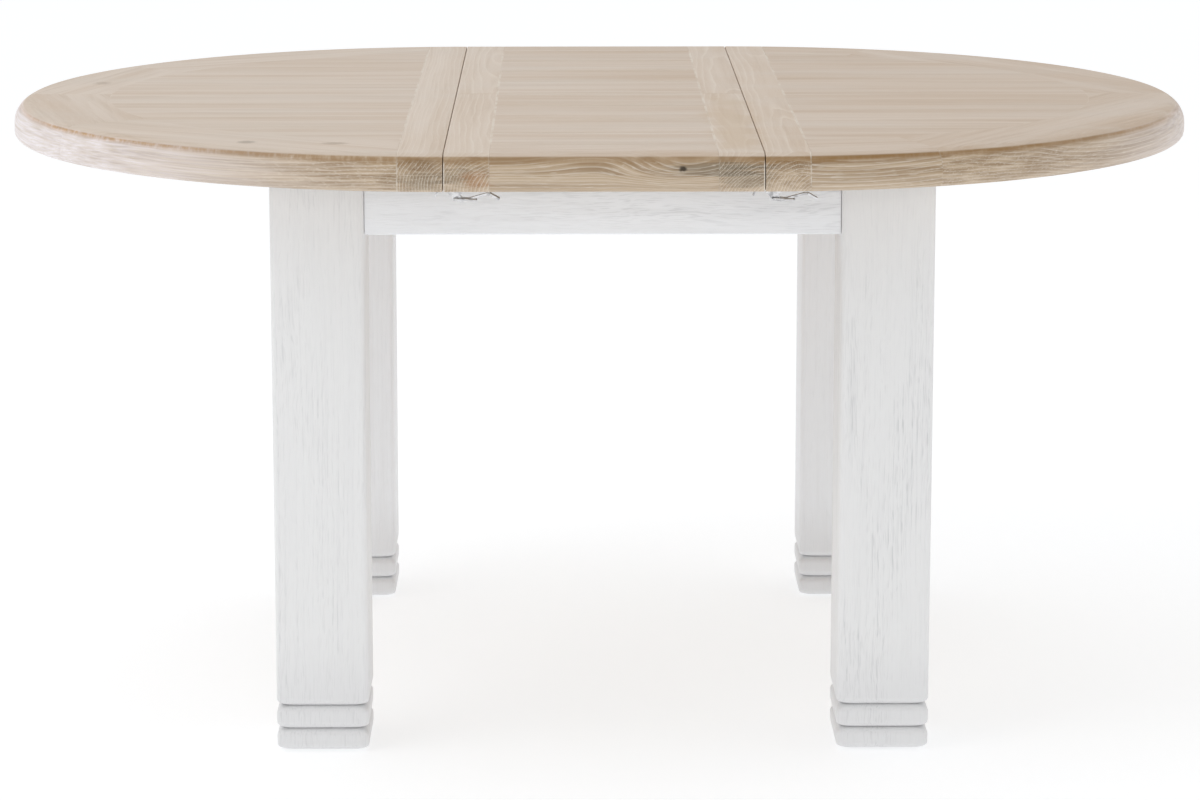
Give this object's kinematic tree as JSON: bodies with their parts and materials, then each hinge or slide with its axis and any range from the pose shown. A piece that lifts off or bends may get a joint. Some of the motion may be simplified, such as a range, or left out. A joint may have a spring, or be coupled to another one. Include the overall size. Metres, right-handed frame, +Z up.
{
  "type": "extending dining table",
  "caption": "Round extending dining table with square legs, sliding half tops, a two-part folding centre leaf and draw latches.",
  "frame": {"origin": "on the floor under the middle of the table", "axes": "+X is the direction in which the tops slide apart, +Z up, -Y is the front"},
  "size_m": [1.5661, 1.1802, 0.786],
  "materials": {
    "limed_oak": "limed oak, satin",
    "white_oak": "white painted, brushed grain, matt",
    "hardwood": "waxed beech",
    "steel": "zinc plated",
    "brass": "satin",
    "nylon": "matt"
  },
  "bodies": {
    "frame": {"leg_front_left": "white_oak", "leg_front_right": "white_oak", "leg_back_left": "white_oak", "leg_back_right": "white_oak", "apron_front": "white_oak", "apron_back": "white_oak", "apron_left": "white_oak", "apron_right": "white_oak", "rail_front": "hardwood", "rail_back": "hardwood", "bearer_left": "hardwood", "bearer_right": "hardwood", "pivot_plates": "steel", "leaf_pads": "nylon", "floor_glides": "nylon"},
    "left_half": {"panel_left": "limed_oak", "band_left": "limed_oak", "rim_1_left": "limed_oak", "rim_2_left": "limed_oak", "rim_3_left": "limed_oak", "rim_4_left": "limed_oak", "runner_left_front": "hardwood", "runner_left_back": "hardwood", "runner_screws_left": "steel", "latch_hooks_left": "steel"},
    "right_half": {"panel_right": "limed_oak", "band_right": "limed_oak", "rim_1_right": "limed_oak", "rim_2_right": "limed_oak", "rim_3_right": "limed_oak", "rim_4_right": "limed_oak", "runner_right_front": "hardwood", "runner_right_back": "hardwood", "runner_screws_right": "steel", "latch_bases_right": "steel"},
    "leaf_front": {"leaf_panel_front": "limed_oak", "leaf_lip_front": "limed_oak", "leaf_left_front": "limed_oak", "leaf_right_front": "limed_oak", "hinge_cups_front": "brass", "latch_base_front": "steel", "latch_hook_front": "steel", "leaf_brackets": "steel"},
    "leaf_back": {"leaf_panel_back": "limed_oak", "leaf_lip_back": "limed_oak", "leaf_left_back": "limed_oak", "leaf_right_back": "limed_oak", "hinge_cups_back": "brass", "latch_base_back": "steel", "latch_hook_back": "steel"},
    "hinge_links": {"hinge_links": "brass"},
    "latch_lever_front_left": {"latch_lever_front_left": "steel"},
    "latch_bail_front_left": {"latch_bail_front_left": "steel"},
    "latch_lever_front_right": {"latch_lever_front_right": "steel"},
    "latch_bail_front_right": {"latch_bail_front_right": "steel"},
    "latch_lever_back_left": {"latch_lever_back_left": "steel"},
    "latch_bail_back_left": {"latch_bail_back_left": "steel"},
    "latch_lever_back_right": {"latch_lever_back_right": "steel"},
    "latch_bail_back_right": {"latch_bail_back_right": "steel"}
  },
  "joints": [
    {"name": "slide_left", "type": "slide", "parent": "frame", "child": "left_half", "axis": [-1, 0, 0], "range_m": [0, 0.025]},
    {"name": "slide_right", "type": "slide", "parent": "frame", "child": "right_half", "axis": [1, 0, 0], "range_m": [0, 0.025]},
    {"name": "leaf_swing", "type": "hinge", "parent": "frame", "child": "leaf_front", "pos_m": [0, -0.15, 0.744], "axis": [-1, 0, 0], "range_deg": [0, 90]},
    {"name": "leaf_fold", "type": "hinge", "parent": "leaf_front", "child": "leaf_back", "pos_m": [0, 0, 0.7865], "axis": [1, 0, 0], "range_deg": [0, 180]},
    {"name": "hinge_links_turn", "type": "hinge", "parent": "leaf_front", "child": "hinge_links", "pos_m": [0, 0, 0.7865], "axis": [1, 0, 0], "range_deg": [0, 90]},
    {"name": "lever_front_left", "type": "hinge", "parent": "leaf_front", "child": "latch_lever_front_left", "pos_m": [-0.1805, -0.522, 0.7305], "axis": [0, 1, 0], "range_deg": [0, 110]},
    {"name": "bail_front_left", "type": "hinge", "parent": "latch_lever_front_left", "child": "latch_bail_front_left", "pos_m": [-0.181, -0.522, 0.7235], "axis": [0, -1, 0], "range_deg": [-199.8, 0]},
    {"name": "lever_front_right", "type": "hinge", "parent": "right_half", "child": "latch_lever_front_right", "pos_m": [0.2055, -0.522, 0.7305], "axis": [0, 1, 0], "range_deg": [0, 110]},
    {"name": "bail_front_right", "type": "hinge", "parent": "latch_lever_front_right", "child": "latch_bail_front_right", "pos_m": [0.205, -0.522, 0.7235], "axis": [0, -1, 0], "range_deg": [-199.8, 0]},
    {"name": "lever_back_left", "type": "hinge", "parent": "leaf_back", "child": "latch_lever_back_left", "pos_m": [-0.1805, 0.522, 0.7305], "axis": [0, 1, 0], "range_deg": [0, 110]},
    {"name": "bail_back_left", "type": "hinge", "parent": "latch_lever_back_left", "child": "latch_bail_back_left", "pos_m": [-0.181, 0.522, 0.7235], "axis": [0, -1, 0], "range_deg": [-199.8, 0]},
    {"name": "lever_back_right", "type": "hinge", "parent": "right_half", "child": "latch_lever_back_right", "pos_m": [0.2055, 0.522, 0.7305], "axis": [0, 1, 0], "range_deg": [0, 110]},
    {"name": "bail_back_right", "type": "hinge", "parent": "latch_lever_back_right", "child": "latch_bail_back_right", "pos_m": [0.205, 0.522, 0.7235], "axis": [0, -1, 0], "range_deg": [-199.8, 0]}
  ],
  "couplings": [
    {"joint": "leaf_fold", "follows": "leaf_swing", "ratio": 2},
    {"joint": "hinge_links_turn", "follows": "leaf_swing", "ratio": 1}
  ]
}
